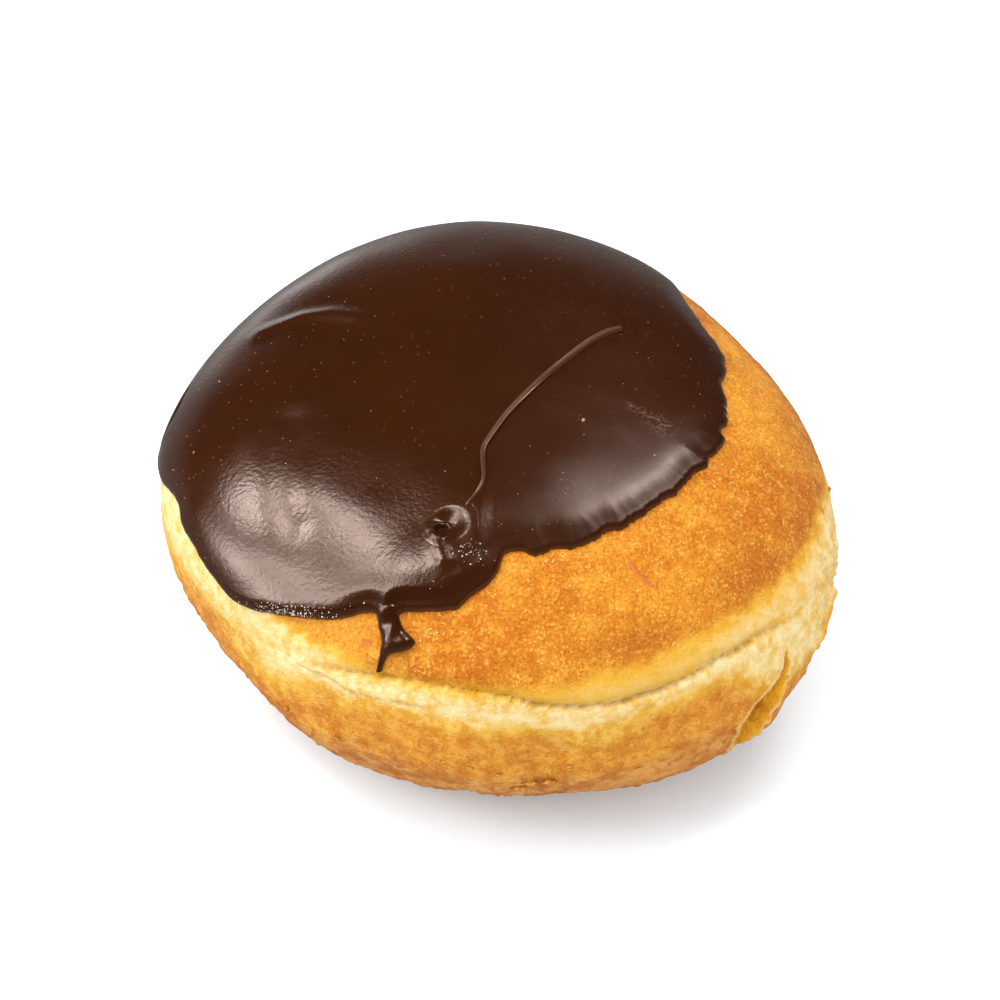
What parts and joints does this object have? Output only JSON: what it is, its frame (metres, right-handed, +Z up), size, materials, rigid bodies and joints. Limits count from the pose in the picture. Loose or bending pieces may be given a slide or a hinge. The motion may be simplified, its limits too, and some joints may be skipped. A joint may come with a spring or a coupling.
{
  "type": "jelly filled doughnut",
  "caption": "Round uncut filled doughnut with a pale ring round its side and dark chocolate icing poured over its top.",
  "frame": {"origin": "middle of the flat spot underneath, on the surface that the doughnut rests on", "axes": "+Z up; the side that the picture shows in front, with the run of icing, faces -Y, and the torn skin is towards +X and -Y"},
  "size_m": [0.0969, 0.0957, 0.0497],
  "materials": {
    "dough": "fried yeast dough: golden brown crust with a fine grain, a pale cream ring round the side, slightly oily",
    "icing": "dark chocolate icing, satin to glossy, with pin-point specks"
  },
  "bodies": {
    "root": {"dough": "dough", "icing": "icing"}
  },
  "joints": []
}
